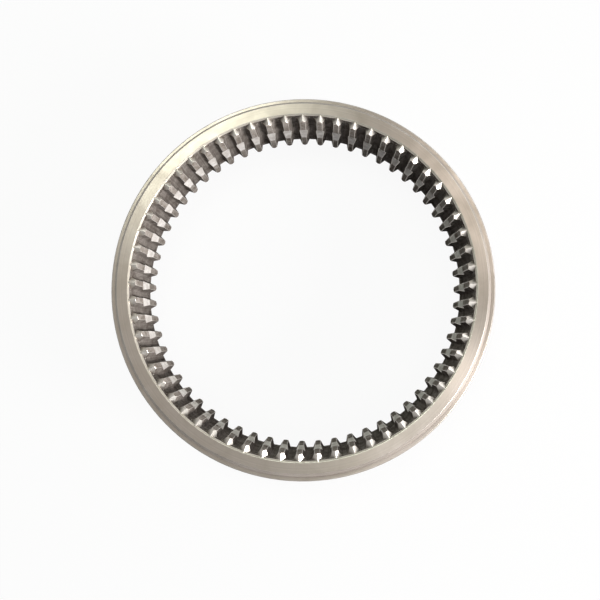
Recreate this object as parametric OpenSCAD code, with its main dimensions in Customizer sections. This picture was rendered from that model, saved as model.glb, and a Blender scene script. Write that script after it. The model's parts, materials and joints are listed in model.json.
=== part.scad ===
// Gearbox sliding sleeve: one steel ring with an internal spline, a detent groove
// turned across the teeth, roof-pointed tooth ends and a shift-fork groove outside.
// Millimetres, +Z along the sleeve axis, the lower end face at z = 0.

/* [Spline] */
// Number of internal teeth
tooth_count = 60; // [52:1:68]
// Diameter of the pitch circle
pitch_diameter = 150; // [142:1:160]
// Tooth thickness as a share of the pitch, on the pitch circle
thickness_share = 0.47; // [0.43:0.01:0.5]
// Tooth tip, inside the pitch circle
tip_drop = 1.2; // [0.9:0.1:1.4]
// Tooth root, outside the pitch circle
root_rise = 1.7; // [1.4:0.1:1.9]
// Angle of the straight flanks to the tooth centre line
flank_angle = 27; // [22:1:32]
// Fillet radius in the corners of the tooth spaces
root_fillet = 1.2; // [0.8:0.1:1.3]

/* [Tooth ends] */
// Angle between the two faces of a roof-pointed end
point_angle = 104; // [84:2:120]
// Ridge of the pointed end, below the end face
point_setback = 0.15; // [0.1:0.05:0.4]
// Chamfer between the end face and the tooth spaces
mouth_chamfer = 0.6; // [0.4:0.1:1]

/* [Detent groove] */
// Width of the groove across the tooth tips
detent_width = 7.8; // [5:0.2:10]
// Width of its floor
detent_floor = 0.4; // [0.2:0.1:2]
// Depth below the tooth tips
detent_depth = 1.5; // [0.8:0.1:1.7]

/* [Ring] */
// Length of the sleeve
sleeve_length = 26; // [25:0.5:32]
// Wall from the tooth roots to the floor of the fork groove
body_wall = 4.5; // [3.5:0.5:6]
// Chamfer at the outer edge of each end face
edge_chamfer = 1.6; // [0.8:0.1:2]

/* [Fork groove] */
// Width of the fork groove
fork_width = 10; // [8:0.5:11]
// Depth of the fork groove, from the lip rim to the floor
fork_depth = 5.1; // [4:0.1:7]
// Thickness of the lip on each side of the groove
lip_thickness = 4.4; // [3:0.1:5]
// Height of the lips above the plain end lands
lip_step = 2.7; // [1.8:0.1:3.5]
// Chamfer on the lip edges
lip_chamfer = 0.5; // [0.2:0.1:0.8]
// Fillet radius in the corners of the groove floor
floor_fillet = 0.8; // [0.4:0.1:1.5]
// Fillet radius between an end land and its lip
land_fillet = 0.6; // [0.3:0.1:1]

/* [Hidden] */

round_steps = 240;
fillet_steps = 48;
// Overlap that carries a cut past the face it opens
past = 1;
// Teeth run this far into the wall, past the mouth chamfer
embed = 0.6;
// The corner circles dip this far into the root, so that they meet it at an angle
fillet_dip = 0.05;

pitch_radius = pitch_diameter / 2;
tip_radius = pitch_radius - tip_drop;
root_radius = pitch_radius + root_rise;
floor_radius = root_radius + body_wall;
lip_radius = floor_radius + fork_depth;
land_radius = lip_radius - lip_step;
mouth_radius = root_radius + mouth_chamfer;
embed_radius = mouth_radius + embed;
mid_height = sleeve_length / 2;
fork_low = mid_height - fork_width / 2;
fork_high = mid_height + fork_width / 2;
lip_low = fork_low - lip_thickness;
lip_high = fork_high + lip_thickness;

tooth_pitch = PI * pitch_diameter / tooth_count;
half_thickness = thickness_share * tooth_pitch / 2;
point_slope = tan(point_angle / 2);

// Half thickness of a tooth at a radius, along its straight flank
function half_at(radius) = half_thickness + (radius - pitch_radius) * tan(flank_angle);

// Centre of the corner circle: it touches the flank and dips into the root
corner_reach = root_radius - root_fillet + fillet_dip;
corner_across = half_at(corner_reach) + root_fillet / cos(flank_angle);
corner_out = sqrt(corner_reach * corner_reach - corner_across * corner_across);
corner_y = half_at(corner_out) + root_fillet / cos(flank_angle);
touch_x = corner_out + root_fillet * sin(flank_angle);
touch_y = corner_y - root_fillet * cos(flank_angle);

inner_x = tip_radius - past;
inner_y = half_at(inner_x);
roof_y = corner_y + past;
roof_run = roof_y / point_slope;

module corner_circle(side)
  translate([corner_out, side * corner_y])
    circle(r = root_fillet, $fn = fillet_steps);

// Section of one tooth across the axis, with a concave fillet on each side of its foot
module tooth_section()
  difference() {
    polygon([
      [inner_x, -inner_y],
      [touch_x, -touch_y],
      [corner_out, -corner_y],
      [embed_radius, -corner_y],
      [embed_radius, corner_y],
      [corner_out, corner_y],
      [touch_x, touch_y],
      [inner_x, inner_y]
    ]);
    corner_circle(1);
    corner_circle(-1);
  }

// Outline of one tooth seen along a radius: a bar with a roof point at each end
module tooth_outline()
  polygon([
    [0, point_setback],
    [roof_y, point_setback + roof_run],
    [roof_y, sleeve_length - point_setback - roof_run],
    [0, sleeve_length - point_setback],
    [-roof_y, sleeve_length - point_setback - roof_run],
    [-roof_y, point_setback + roof_run]
  ]);

module tooth()
  intersection() {
    linear_extrude(height = sleeve_length)
      tooth_section();
    translate([inner_x - past, 0, 0])
      rotate([90, 0, 90])
        linear_extrude(height = embed_radius - inner_x + 2 * past)
          tooth_outline();
  }

// Half section of the ring: mouth chamfers, end lands, lips and the fork groove
module ring_section()
  difference() {
    union() {
      polygon([
        [root_radius, mouth_chamfer],
        [mouth_radius, 0],
        [land_radius - edge_chamfer, 0],
        [land_radius, edge_chamfer],
        [land_radius, lip_low],
        [lip_radius - lip_chamfer, lip_low],
        [lip_radius, lip_low + lip_chamfer],
        [lip_radius, fork_low - lip_chamfer],
        [lip_radius - lip_chamfer, fork_low],
        [floor_radius + floor_fillet, fork_low],
        [floor_radius, fork_low + floor_fillet],
        [floor_radius, fork_high - floor_fillet],
        [floor_radius + floor_fillet, fork_high],
        [lip_radius - lip_chamfer, fork_high],
        [lip_radius, fork_high + lip_chamfer],
        [lip_radius, lip_high - lip_chamfer],
        [lip_radius - lip_chamfer, lip_high],
        [land_radius, lip_high],
        [land_radius, sleeve_length - edge_chamfer],
        [land_radius - edge_chamfer, sleeve_length],
        [mouth_radius, sleeve_length],
        [root_radius, sleeve_length - mouth_chamfer]
      ]);
      land_corner(lip_low - land_fillet);
      land_corner(lip_high);
    }
    for (height = [fork_low + floor_fillet, fork_high - floor_fillet])
      translate([floor_radius + floor_fillet, height])
        circle(r = floor_fillet, $fn = fillet_steps);
    for (height = [lip_low - land_fillet, lip_high + land_fillet])
      translate([land_radius + land_fillet, height])
        circle(r = land_fillet, $fn = fillet_steps);
  }

// Square of metal in the corner of land and lip, before its round is taken out
module land_corner(height)
  translate([land_radius, height])
    square(land_fillet);

// Everything inside the tooth tips, with the ridge that leaves the detent groove
module tip_bore()
  rotate_extrude($fn = round_steps)
    polygon([
      [0, -past],
      [tip_radius, -past],
      [tip_radius, mid_height - detent_width / 2],
      [tip_radius + detent_depth, mid_height - detent_floor / 2],
      [tip_radius + detent_depth, mid_height + detent_floor / 2],
      [tip_radius, mid_height + detent_width / 2],
      [tip_radius, sleeve_length + past],
      [0, sleeve_length + past]
    ]);

module sliding_sleeve()
  color([0.66, 0.64, 0.6])
    difference() {
      union() {
        rotate_extrude($fn = round_steps)
          ring_section();
        for (index = [0 : tooth_count - 1])
          rotate([0, 0, index * 360 / tooth_count])
            tooth();
      }
      tip_bore();
    }

sliding_sleeve();
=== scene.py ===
# %% [markdown]
# # A gearbox sliding sleeve
#
# A sliding sleeve locks a gear to its shaft. It is one ring of steel: a shift fork moves it by the
# groove outside, and the teeth inside slide over the hub and onto the dog teeth of a gear.
# The solid part is already designed, so this lesson is about looks. It takes the solid as the frame,
# gives a copy of it smooth shading and even grooves, and finds the faces that each cutting tool made.
# Every tool leaves its own finish, so each set of faces then gets a steel of its own.

# %% Load the solid part
import json
import math

import bmesh
import bpy
from mathutils import Matrix, Vector

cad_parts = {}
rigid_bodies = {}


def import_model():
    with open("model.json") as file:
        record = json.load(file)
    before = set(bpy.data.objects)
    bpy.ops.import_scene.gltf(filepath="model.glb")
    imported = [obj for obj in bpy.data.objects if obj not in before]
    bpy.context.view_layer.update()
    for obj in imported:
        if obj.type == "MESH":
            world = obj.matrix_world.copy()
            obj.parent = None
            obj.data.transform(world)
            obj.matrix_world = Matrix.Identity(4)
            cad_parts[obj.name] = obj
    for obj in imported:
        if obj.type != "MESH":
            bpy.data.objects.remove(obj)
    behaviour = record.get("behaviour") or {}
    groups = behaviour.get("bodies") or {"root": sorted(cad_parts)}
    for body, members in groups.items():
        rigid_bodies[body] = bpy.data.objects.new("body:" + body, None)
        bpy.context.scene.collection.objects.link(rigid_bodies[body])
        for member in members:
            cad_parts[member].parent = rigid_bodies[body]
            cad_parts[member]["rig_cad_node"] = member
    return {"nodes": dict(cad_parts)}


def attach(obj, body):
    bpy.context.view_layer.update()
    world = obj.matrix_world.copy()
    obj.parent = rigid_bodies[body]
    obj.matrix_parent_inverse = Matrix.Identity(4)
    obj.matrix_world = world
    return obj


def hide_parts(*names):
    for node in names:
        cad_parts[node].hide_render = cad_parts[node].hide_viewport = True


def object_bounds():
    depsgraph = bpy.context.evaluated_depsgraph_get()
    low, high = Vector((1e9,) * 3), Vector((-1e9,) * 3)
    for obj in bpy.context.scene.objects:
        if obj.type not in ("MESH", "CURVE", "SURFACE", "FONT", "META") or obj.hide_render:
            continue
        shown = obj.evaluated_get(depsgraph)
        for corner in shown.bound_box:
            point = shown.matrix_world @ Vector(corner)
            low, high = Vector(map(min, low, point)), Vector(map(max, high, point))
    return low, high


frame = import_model()
cad_low, cad_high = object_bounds()
MM = 0.001
print("solid box in mm:", [round(v / MM, 2) for v in (*cad_low, *cad_high)])

# %% [markdown]
# ## One welded copy of the ring
#
# The solid comes as loose triangles with flat shading, which would show every facet in a shiny metal.
# The ring could be modelled again from nothing, but its form is right already. A copy is welded instead,
# by merging the corners that lie on each other. Smooth shading by angle then rounds the turned faces
# and keeps the real edges sharp. The form doesn't change, only how light runs over it.

# %% Copy the ring, weld it and shade it smooth
WELD = 0.001 * MM
SHARP_ANGLE = math.radians(20)

solid = frame["nodes"]["sliding_sleeve"]
bpy.ops.object.select_all(action="DESELECT")
solid.select_set(True)
bpy.context.view_layer.objects.active = solid
bpy.ops.object.duplicate(linked=False)
sleeve = bpy.context.view_layer.objects.active
sleeve.name = sleeve.data.name = "steel_sleeve"
del sleeve["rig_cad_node"]

loose = len(sleeve.data.vertices)
bpy.ops.object.mode_set(mode="EDIT")
bpy.ops.mesh.select_all(action="SELECT")
bpy.ops.mesh.customdata_custom_splitnormals_clear()
bpy.ops.mesh.remove_doubles(threshold=WELD)
bpy.ops.object.mode_set(mode="OBJECT")
bpy.ops.object.shade_smooth_by_angle(angle=SHARP_ANGLE)
print("corners welded:", loose, "to", len(sleeve.data.vertices), "faces:", len(sleeve.data.polygons))

# %% [markdown]
# ## Even strips in the outer grooves
#
# Each circle of the solid has its own number of points, so the small fillets between them are filled
# with uneven triangles. On metal these would show as a row of dashes. A remesh would even them out,
# but it would soften every edge too. The fork groove and the step beside each lip are therefore cut
# out and drawn again along the same section: the edge loop of the lip is extruded from point to point
# of the section, and the last ring is bridged to the far edge.

# %% Tools to draw a section again
CLOSE = 0.01 * MM


def radius_of(vert):
    """Distance of a corner from the axis."""
    return math.hypot(vert.co.x, vert.co.y)


def on_circle(vert, radius, height):
    """Whether a corner lies on one circle of the ring."""
    return abs(radius_of(vert) - radius) + abs(vert.co.z - height) < CLOSE


def select_circle(radius, height):
    """Selects the open edges on one circle."""
    for edge in bmesh.from_edit_mesh(sleeve.data).edges:
        if edge.is_boundary and all(on_circle(vert, radius, height) for vert in edge.verts):
            edge.select_set(True)


def redraw(section):
    """Cuts out the faces of a section and extrudes them again, from its first circle to its last."""
    radii, heights = zip(*section)
    bpy.ops.mesh.select_mode(type="FACE")
    bpy.ops.mesh.select_all(action="DESELECT")
    for face in bmesh.from_edit_mesh(sleeve.data).faces:
        face.select_set(all(min(radii) - CLOSE < radius_of(vert) < max(radii) + CLOSE
                            and min(heights) - CLOSE < vert.co.z < max(heights) + CLOSE
                            for vert in face.verts))
    bpy.ops.mesh.delete(type="FACE")
    bpy.ops.mesh.select_mode(type="EDGE")
    select_circle(*section[0])
    for (radius, height), (next_radius, next_height) in zip(section, section[1:-1]):
        grow = next_radius / radius
        bpy.ops.mesh.extrude_region()
        bpy.ops.transform.translate(value=(0, 0, next_height - height))
        bpy.ops.transform.resize(value=(grow, grow, 1), center_override=(0, 0, 0))
    select_circle(*section[-1])
    bpy.ops.mesh.bridge_edge_loops()


# %% [markdown]
# ## The two sections
#
# On the real sleeve the fork groove has a flat floor with a fillet in each corner, and a smaller fillet
# leads from each plain end land up to its lip. A fillet could be cut by a bevel afterwards, but drawn
# as points of the section its strips run evenly all the way round. Sizes are those of the part, and
# the upper half mirrors the lower one.

# %% Draw the fork groove and the steps beside the lips
LIP_EDGE, LAND, GROOVE_FLOOR = 85.8 * MM, 83.6 * MM, 81.2 * MM
LAND_EDGE, LIP_LOW, GROOVE_LOW = 1.6 * MM, 3.6 * MM, 8.0 * MM
LAND_FILLET, FLOOR_FILLET = 0.6 * MM, 0.8 * MM
FILLET_STEPS = 6


def fillet(radius, height, size, first, last):
    """Points of a fillet in the half section, between two angles in degrees."""
    turn = (last - first) / FILLET_STEPS
    angles = [math.radians(first + turn * count) for count in range(FILLET_STEPS + 1)]
    return [(radius + size * math.cos(angle), height + size * math.sin(angle)) for angle in angles]


def mirrored(section):
    """A section at the other end of the ring."""
    return [(radius, cad_high.z - height) for radius, height in section]


floor_round = fillet(GROOVE_FLOOR + FLOOR_FILLET, GROOVE_LOW + FLOOR_FILLET, FLOOR_FILLET, -90, -180)
land_round = fillet(LAND + LAND_FILLET, LIP_LOW - LAND_FILLET, LAND_FILLET, 90, 180)
groove_half = [(LIP_EDGE, GROOVE_LOW)] + floor_round
step = [(LIP_EDGE, LIP_LOW)] + land_round + [(LAND, LAND_EDGE)]

before = len(sleeve.data.polygons)
bpy.ops.object.mode_set(mode="EDIT")
redraw(groove_half + mirrored(groove_half)[::-1])
redraw(step)
redraw(mirrored(step))
bpy.ops.mesh.select_all(action="SELECT")
bpy.ops.mesh.normals_make_consistent(inside=False)
bpy.ops.object.mode_set(mode="OBJECT")
bpy.ops.object.shade_smooth_by_angle(angle=SHARP_ANGLE)
print("faces", before, "to", len(sleeve.data.polygons), "with even strips in the grooves")

# %% [markdown]
# ## Which tool made which face
#
# A lathe turned the ends, the lips, the grooves and the tooth tips. A broach cut the flanks and the
# tooth spaces, and a small mill pointed the tooth ends. The faces could be picked by hand, but with
# 60 teeth that is slow. Place and normal tell them apart as well: a face that leans round the ring was
# broached or milled, and one that only leans in, out or along was turned. A lean is the share of the
# normal that points one way. Tips and roots are where the part has them. The two limits lie just past
# the floor of the detent groove and just inside the floor of the fork groove.

# %% Sort the faces by the tool that cut them
TIP_RADIUS, ROOT_RADIUS = 73.8 * MM, 76.7 * MM
DETENT_LIMIT, OUTSIDE_LIMIT = 75.4 * MM, 80.5 * MM
SLACK = 0.08 * MM
SQUARE, STEEP, SLANTED, SLIGHT = 0.97, 0.4, 0.25, 0.1

END_FACE, OUTSIDE, MOUTH, TIP, DETENT, POINT, SPACE, EDGE = range(8)
NAMES = ["end face", "outside", "mouth chamfer", "tooth tip", "detent ramp", "tooth point",
         "tooth space", "broken edge"]


def tool_of(face):
    """The set of faces that a face belongs to, from its centre and its normal."""
    centre, normal = face.center, face.normal
    radius = math.hypot(centre.x, centre.y)
    outward = Vector((centre.x, centre.y, 0)) / radius
    lean_out = normal.dot(outward)
    lean_round = abs(normal.dot(Vector((-outward.y, outward.x, 0))))
    lean_along = abs(normal.z)
    if radius > ROOT_RADIUS and lean_along > SQUARE:
        return END_FACE
    if radius > OUTSIDE_LIMIT and lean_out > SLANTED:
        return OUTSIDE
    if lean_round > STEEP and lean_along > SLANTED:
        return POINT
    if radius > ROOT_RADIUS - SLACK and lean_along > STEEP:
        return MOUTH
    if radius < DETENT_LIMIT and lean_round < SLIGHT and lean_out < -SLANTED:
        return TIP if radius < TIP_RADIUS + SLACK and lean_along < SLIGHT else DETENT
    return SPACE


face_sets = [tool_of(polygon) for polygon in sleeve.data.polygons]
print("faces by tool:", {name: face_sets.count(index) for index, name in enumerate(NAMES)})

# %% [markdown]
# ## Tools for the finishes
#
# Colours are written as the hex values that a colour picker gives and turned to linear light once.
# A material could be wired up node by node in the editor. In a script one small function adds a node
# with its settings and links, so that a finish reads as a short list.

# %% Colour and node helpers


def linear(code):
    """A hex colour such as 8a8178 as linear red, green, blue and alpha."""
    parts = [int(code[i:i + 2], 16) / 255 for i in (0, 2, 4)]
    return [p / 12.92 if p <= 0.04045 else ((p + 0.055) / 1.055) ** 2.4 for p in parts] + [1.0]


def add(tree, kind, links=None, **settings):
    """Adds a node. Settings are its properties, and links go from a socket or value to each input."""
    made = tree.nodes.new("ShaderNode" + kind)
    for name, value in settings.items():
        setattr(made, name, value)
    for name, value in (links or {}).items():
        if isinstance(value, bpy.types.NodeSocket):
            tree.links.new(value, made.inputs[name])
        else:
            made.inputs[name].default_value = value
    return made


print("hex 808080 is", round(linear("808080")[0], 3), "in linear light")

# %% [markdown]
# ## The marks of the tools
#
# The lay is the direction of the tool marks. A lathe leaves fine rings, so light spreads across them
# and a turned face shows two bright fans, one towards the light and one away from it. A broach leaves
# lines along the axis. They could be cut into the mesh, but noise that is drawn out along the lay costs
# no faces. The marks are about 0.1 mm apart on the real part. They are drawn at 0.5 mm or more,
# because finer ones would fall between the pixels.

# %% Lay the tool marks
LINE_SQUEEZE = (1, 1, 0.03)


def tool_marks(tree, place, lay, size):
    """Noise that runs round the ring or along it, and the tangent across its marks."""
    fine = 1 / (size * MM)
    if lay == "rings":
        flat = add(tree, "VectorMath", {0: place, 1: (1, 1, 0)}, operation="MULTIPLY").outputs[0]
        radius = add(tree, "VectorMath", {0: flat}, operation="LENGTH").outputs["Value"]
        height = add(tree, "SeparateXYZ", {0: place}).outputs["Z"]
        across = add(tree, "Math", {0: radius, 1: height}, operation="SUBTRACT").outputs[0]
        rings = add(tree, "Math", {0: across, 1: fine}, operation="MULTIPLY").outputs[0]
        marks = add(tree, "TexNoise", {"W": rings, "Scale": 1.0, "Detail": 2.0, "Roughness": 0.6},
                    noise_dimensions="1D").outputs["Fac"]
        along = add(tree, "VectorMath", {0: (0, 0, 1), 1: flat}, operation="CROSS_PRODUCT").outputs[0]
    else:
        lines = add(tree, "VectorMath", {0: place, 1: LINE_SQUEEZE}, operation="MULTIPLY").outputs[0]
        marks = add(tree, "TexNoise", {"Vector": lines, "Scale": fine, "Detail": 2.0,
                    "Roughness": 0.6}).outputs["Fac"]
        along = (0, 0, 1)
    normal = add(tree, "NewGeometry").outputs["Normal"]
    tangent = add(tree, "VectorMath", {0: normal, 1: along}, operation="CROSS_PRODUCT").outputs[0]
    return marks, add(tree, "VectorMath", {0: tangent}, operation="NORMALIZE").outputs[0]


print("lines along the axis are", round(1 / LINE_SQUEEZE[2]), "times as long as they are wide")

# %% [markdown]
# ## Bare steel and phosphated steel
#
# Two kinds of surface share one recipe. Where a tool cut last, the steel is bare and mirrors what is
# round it: that is a metallic shader. Elsewhere it keeps the thin grey coat of a phosphate bath,
# which scatters light like a matt paint: that is a shader with little or no metal in it.
# One flat colour would look like plastic, so oil and handling stains lie over it in soft patches, more
# stain lies in the marks, and fine pits break up the sheen. The spread of the light across the marks
# is set by anisotropy.

# %% Build a steel finish
PIT = 0.9 * MM
MARK_DEPTH = 0.05 * MM
PATCH_LOW, PATCH_HIGH = 0.34, 0.66
MARK_LOW, MARK_HIGH = 0.35, 0.70
PIT_ROUGHNESS, PATCH_ROUGHNESS = 0.10, 0.06
PIT_RELIEF = 0.4


def steel(name, colours, rough, metal, lay, mark, bump, streak, spread=0.0, gloss=0.5, patch=14.0):
    """A steel in a clean, a dull and a stained tone, with its tool marks, patches and pits.

    Mark and patch are sizes in millimetres, and streak is the most stain that lies in the marks.
    """
    clean, dull, stained = (linear(code) for code in colours)
    finish = bpy.data.materials.new(name)
    finish.use_nodes = True
    tree = finish.node_tree
    tree.nodes.clear()
    place = add(tree, "TexCoord").outputs["Object"]
    marks, tangent = tool_marks(tree, place, lay, mark)

    patches = add(tree, "TexNoise", {"Vector": place, "Scale": 1 / (patch * MM), "Detail": 5.0,
                  "Roughness": 0.62, "Distortion": 0.6}).outputs["Fac"]
    tone = add(tree, "MapRange", {"Value": patches, "From Min": PATCH_LOW,
               "From Max": PATCH_HIGH}).outputs[0]
    body = add(tree, "Mix", {0: tone, 6: clean, 7: dull}, data_type="RGBA").outputs[2]
    film = add(tree, "MapRange", {"Value": marks, "From Min": MARK_LOW, "From Max": MARK_HIGH,
               "To Max": streak}).outputs[0]
    colour = add(tree, "Mix", {0: film, 6: body, 7: stained}, data_type="RGBA").outputs[2]

    # Pits and patches make the sheen uneven, and pits and marks make the relief
    pits = add(tree, "TexNoise", {"Vector": place, "Scale": 1 / PIT, "Detail": 3.0}).outputs["Fac"]
    uneven = add(tree, "Math", {0: pits, 1: PIT_ROUGHNESS, 2: rough - PIT_ROUGHNESS / 2},
                 operation="MULTIPLY_ADD").outputs[0]
    roughness = add(tree, "Math", {0: tone, 1: PATCH_ROUGHNESS, 2: uneven},
                    operation="MULTIPLY_ADD").outputs[0]
    relief = add(tree, "Math", {0: pits, 1: PIT_RELIEF, 2: marks}, operation="MULTIPLY_ADD").outputs[0]
    raised = add(tree, "Bump", {"Strength": bump, "Distance": MARK_DEPTH, "Height": relief}).outputs[0]

    shader = add(tree, "BsdfPrincipled", {"Base Color": colour, "Metallic": metal,
                 "Roughness": roughness, "Normal": raised, "Anisotropic": spread, "Tangent": tangent,
                 "Specular IOR Level": gloss})
    add(tree, "OutputMaterial", {"Surface": shader.outputs[0]})
    return finish


print("pits of", round(PIT / MM, 2), "mm and marks about", round(MARK_DEPTH / MM, 2), "mm deep")

# %% [markdown]
# ## Bare steel: end faces, mouth, points and edges
#
# The end faces were ground last, so they are bare and bright, a warm champagne grey. The mouth chamfer
# was turned and the tooth points were milled. The edges are those that handling has rubbed. One steel
# for all four would do from afar, but close up it is the lay and the sheen that tell the tools apart.

# %% Make the bare finishes
finishes = {}

# Ground rings: a satin face that opens into two bright fans under the lamps
finishes[END_FACE] = steel("ground_steel_end_face", ("ddd0c5", "ccbfb3", "b2a69b"), rough=0.37, metal=1.0,
                           lay="rings", mark=0.6, bump=0.1, streak=0.2, spread=0.8)
# Coarser turning: a dull bright line round the inner edge of the face
finishes[MOUTH] = steel("turned_steel_mouth", ("d2ccc0", "c1baae", "a69f93"), rough=0.60, metal=1.0,
                        lay="rings", mark=0.5, bump=0.2, streak=0.3, spread=0.3)
# Small milled mirrors: each facet turns white where it catches a lamp
finishes[POINT] = steel("milled_steel_point", ("ebe6df", "dbd5cd", "c3bcb4"), rough=0.32, metal=1.0,
                        lay="along", mark=0.5, bump=0.2, streak=0.3)
# Rubbed corners: thin bright lines along the teeth and the lips
finishes[EDGE] = steel("worn_bright_steel_edge", ("e8e2da", "dad4cb", "c0b9b0"), rough=0.35, metal=1.0,
                       lay="along", mark=0.5, bump=0.1, streak=0.2)
print("bare finishes:", [finish.name for finish in finishes.values()])

# %% [markdown]
# ## Phosphated steel: outside, tips, ramps and spaces
#
# The coat is thickest in the tooth spaces, where little rubs, and thinner on the tips and outside.
# The detent balls have worn it pale on the ramps. Each tooth is stained a little differently. That could
# be done with a colour for each tooth, but patches about as wide as a tooth give it without sorting.

# %% Make the coated finishes
# A thin even coat over turned rings: a soft warm grey with little sheen
finishes[OUTSIDE] = steel("phosphated_steel_outside", ("b4aaa1", "a39990", "847a71"), rough=0.45, metal=0.2,
                          lay="rings", mark=0.6, bump=0.3, streak=0.4, gloss=0.2)
# A coat that the hub rubs: matt mid grey in blotches
finishes[TIP] = steel("worn_phosphated_steel_tip", ("b8b0a9", "80776f", "6b635d"), rough=0.55, metal=0.0,
                      lay="rings", mark=0.5, bump=0.3, streak=0.4, gloss=0.0, patch=3.0)
# A coat worn to a pale film: the lightest of the coated faces
finishes[DETENT] = steel("worn_phosphated_steel_detent", ("f2eeea", "cbc4be", "bcb6b1"), rough=0.50,
                         metal=0.0, lay="rings", mark=0.5, bump=0.2, streak=0.3, gloss=0.0, patch=3.0)
# The full coat over broached lines: a dark grey-brown that swallows light
finishes[SPACE] = steel("phosphated_steel_space", ("9a938d", "645c56", "4c4540"), rough=0.65, metal=0.0,
                        lay="along", mark=0.5, bump=0.5, streak=0.5, gloss=0.0, patch=4.0)

sleeve.data.materials.clear()
for index in range(len(NAMES)):
    sleeve.data.materials.append(finishes[index])
for polygon, index in zip(sleeve.data.polygons, face_sets):
    polygon.material_index = index
print("finishes:", [material.name for material in sleeve.data.materials])

# %% [markdown]
# ## Worn edges
#
# No machined edge is perfectly sharp: handling and the hub break it a little and rub it bright.
# A Bevel modifier would find edges by angle alone and take inner corners too. Only outer ones wear,
# so the edges are picked by their signed angle, which is above zero on an outer corner and below it
# on an inner one. The bevel operator then breaks them, in a bright steel of their own.

# %% Break the outer edges
EDGE_BREAK = 0.08 * MM
BREAK_ANGLE = math.radians(32)

before = len(sleeve.data.polygons)
bpy.ops.object.mode_set(mode="EDIT")
bpy.ops.mesh.select_mode(type="EDGE")
bpy.ops.mesh.select_all(action="DESELECT")
for edge in bmesh.from_edit_mesh(sleeve.data).edges:
    edge.select_set(edge.calc_face_angle_signed(0.0) > BREAK_ANGLE)
bpy.ops.mesh.bevel(offset=EDGE_BREAK, segments=1, affect="EDGES", clamp_overlap=True, material=EDGE)
bpy.ops.object.mode_set(mode="OBJECT")
bpy.ops.object.shade_smooth_by_angle(angle=SHARP_ANGLE)
print("faces", before, "to", len(sleeve.data.polygons), "with the edges broken")

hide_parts("sliding_sleeve")
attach(sleeve, "root")

# %% [markdown]
# ## The floor
#
# A plain white sheet under the ring. A brighter lamp would whiten it, but would burn out the steel too.
# So the camera and the bare steel see it nearly white by its own glow, with the ring's shadow on it.
# For the light that it throws back it is a dark sheet, so that the tooth spaces stay deep.

# %% Lay the floor
FLOOR_SIZE = 6.0
GLOW_SHARE = 0.92
SEEN_SHEET, DARK_SHEET = linear("fafafa"), linear("2e2d2c")
WHITE = linear("ffffff")


def seen_rays(tree):
    """One for the rays of the camera, of mirrors and of glass, and nought for the light on matt faces."""
    path = add(tree, "LightPath").outputs
    seen = add(tree, "Math", {0: path["Is Camera Ray"], 1: path["Is Glossy Ray"]},
               operation="MAXIMUM").outputs[0]
    return add(tree, "Math", {0: seen, 1: path["Is Transmission Ray"]}, operation="MAXIMUM").outputs[0]


bpy.ops.object.select_all(action="DESELECT")
bpy.ops.mesh.primitive_plane_add(size=FLOOR_SIZE, location=(0, 0, cad_low.z))
floor = bpy.context.object
floor.name = "floor"
bpy.ops.object.transform_apply(location=True, rotation=True, scale=True)

# Matt white paper: no sheen at all, only a pale ground and a faint soft shadow
paper = bpy.data.materials.new("white_paper")
paper.use_nodes = True
tree = paper.node_tree
tree.nodes.clear()
seen = seen_rays(tree)
share = add(tree, "Math", {0: seen, 1: GLOW_SHARE}, operation="MULTIPLY").outputs[0]
tint = add(tree, "Mix", {0: seen, 6: DARK_SHEET, 7: SEEN_SHEET}, data_type="RGBA").outputs[2]
sheet = add(tree, "BsdfDiffuse", {"Color": tint}).outputs[0]
glow = add(tree, "Emission", {"Color": WHITE, "Strength": 1.0}).outputs[0]
mixed = add(tree, "MixShader", {0: share, 1: sheet, 2: glow}).outputs[0]
add(tree, "OutputMaterial", {"Surface": mixed})
floor.data.materials.append(paper)
print("floor at", round(cad_low.z / MM, 2), "mm")

# %% [markdown]
# ## Light
#
# One big lamp would light the ring evenly and leave it dull, so several soft ones are placed singly.
# Three high lamps make the bright fans on the end face, the strongest at the upper left. Weak lamps low
# round the ring are there for the tooth points, which mirror the horizon. One strong lamp low on the
# right lights the walls that face it, so the left inner walls show and the right ones stay dark.

# %% Set the lamps
LAMP_SIZE = 0.30
HIGH_DISTANCE, LOW_DISTANCE = 0.80, 0.95


def lamp(name, watts, azimuth, elevation, distance, tint):
    """An area lamp that looks at the middle of the ring's lower face."""
    light = bpy.data.lights.new(name, "AREA")
    light.energy, light.size, light.color = watts, LAMP_SIZE, linear(tint)[:3]
    holder = bpy.data.objects.new(name, light)
    bpy.context.collection.objects.link(holder)
    turn, rise = math.radians(azimuth), math.radians(elevation)
    outward = Vector((math.cos(turn) * math.cos(rise), math.sin(turn) * math.cos(rise), math.sin(rise)))
    holder.location = outward * distance
    holder.rotation_mode = "QUATERNION"
    holder.rotation_quaternion = (-outward).to_track_quat("-Z", "Y")
    holder.visible_camera = False
    print(name, "at", [round(v, 3) for v in holder.location], "m")


lamp("upper_left_lamp", 1.50, 122, 61, HIGH_DISTANCE, "f3fff0")
lamp("upper_right_lamp", 0.55, 40, 61, HIGH_DISTANCE, "fff9ee")
lamp("lower_right_lamp", 0.45, -52, 63, HIGH_DISTANCE, "f6f9ff")
for azimuth, elevation, watts in ((15, 13, 1.0), (45, 12, 0.9), (105, 9, 0.4), (-70, 14, 0.5)):
    lamp("low_lamp_%d" % azimuth, watts, azimuth, elevation, LOW_DISTANCE, "ffffff")
lamp("right_lamp", 12.5, -24, 12, LOW_DISTANCE, "fffdfc")

# %% [markdown]
# ## Surroundings
#
# Bare steel is only as bright as what it mirrors, so the studio round the ring matters as much as the
# lamps. A photograph of a room could be wrapped round it, but two soft pale zones are easier to steer:
# one along the horizon and one straight above, with a dark zone between. The band along the horizon
# fades out higher up for the camera and for bare steel than for the light that falls on matt faces.
# Heights are the sine of the elevation, from nought at the horizon to one straight above.

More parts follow.
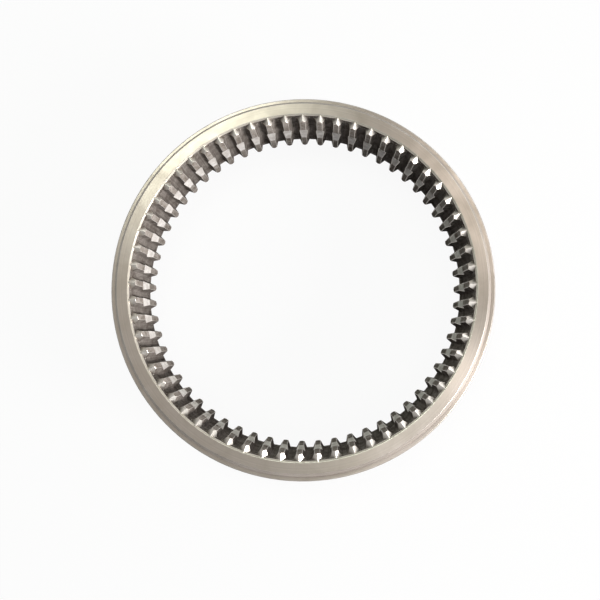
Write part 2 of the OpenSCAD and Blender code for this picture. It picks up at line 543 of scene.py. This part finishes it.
# %% Set the surroundings
SIDE_LEVEL, TOP_LEVEL, DARK_LEVEL = 0.75, 0.44, 0.02
BAND_LOW, BAND_HIGH, SEEN_RISE = 0.18, 0.30, 0.35
TOP_LOW, TOP_HIGH = 0.70, 0.95

scene = bpy.context.scene
world = bpy.data.worlds.new("studio")
scene.world = world
world.use_nodes = True
sky = world.node_tree
sky.nodes.clear()
rise = add(sky, "SeparateXYZ", {0: add(sky, "TexCoord").outputs["Generated"]}).outputs["Z"]
band_end = add(sky, "Math", {0: seen_rays(sky), 1: SEEN_RISE, 2: BAND_HIGH},
               operation="MULTIPLY_ADD").outputs[0]
side = add(sky, "MapRange", {"Value": rise, "From Min": BAND_LOW, "From Max": band_end,
           "To Min": SIDE_LEVEL, "To Max": DARK_LEVEL}).outputs[0]
top = add(sky, "MapRange", {"Value": rise, "From Min": TOP_LOW, "From Max": TOP_HIGH,
          "To Max": TOP_LEVEL}).outputs[0]
level = add(sky, "Math", {0: side, 1: top}, operation="ADD").outputs[0]
back = add(sky, "Background", {"Color": WHITE, "Strength": level}).outputs[0]
add(sky, "OutputWorld", {"Surface": back})
scene.view_settings.view_transform = "Standard"
print("surroundings:", SIDE_LEVEL, "at the side and", TOP_LEVEL, "above")

# %% [markdown]
# ## Camera
#
# The photograph looks down into the ring from close above, so near and far tooth ends separate.
# It could be placed by eye, but a few millimetres already shift the far ends against the near ones.
# Place, direction, lens and shift were found by fitting the ring's circles and its tooth positions.

# %% Place the camera
EYE = Vector((11.5345, -23.1675, 223.4327)) * MM
AHEAD = Vector((-0.02775647, 0.07731971, -0.99661991)).normalized()
RIGHT = Vector((0.99959997, 0.00756148, -0.02725283)).normalized()
UP = RIGHT.cross(AHEAD)
SENSOR, LENS = 36.0, 27.1143
SHIFT_X, SHIFT_Y = -0.02376, 0.0014
CLIP_START, CLIP_END = 0.005, 50.0

camera_data = bpy.data.cameras.new("camera")
camera_data.sensor_width, camera_data.lens = SENSOR, LENS
camera_data.shift_x, camera_data.shift_y = SHIFT_X, SHIFT_Y
camera_data.clip_start, camera_data.clip_end = CLIP_START, CLIP_END
camera = bpy.data.objects.new("camera", camera_data)
bpy.context.collection.objects.link(camera)
facing = Matrix((RIGHT, UP, -AHEAD)).transposed()
camera.matrix_world = Matrix.Translation(EYE) @ facing.to_4x4()
scene.camera = camera
print("camera", round(EYE.length / MM), "mm from the middle of the lower face")
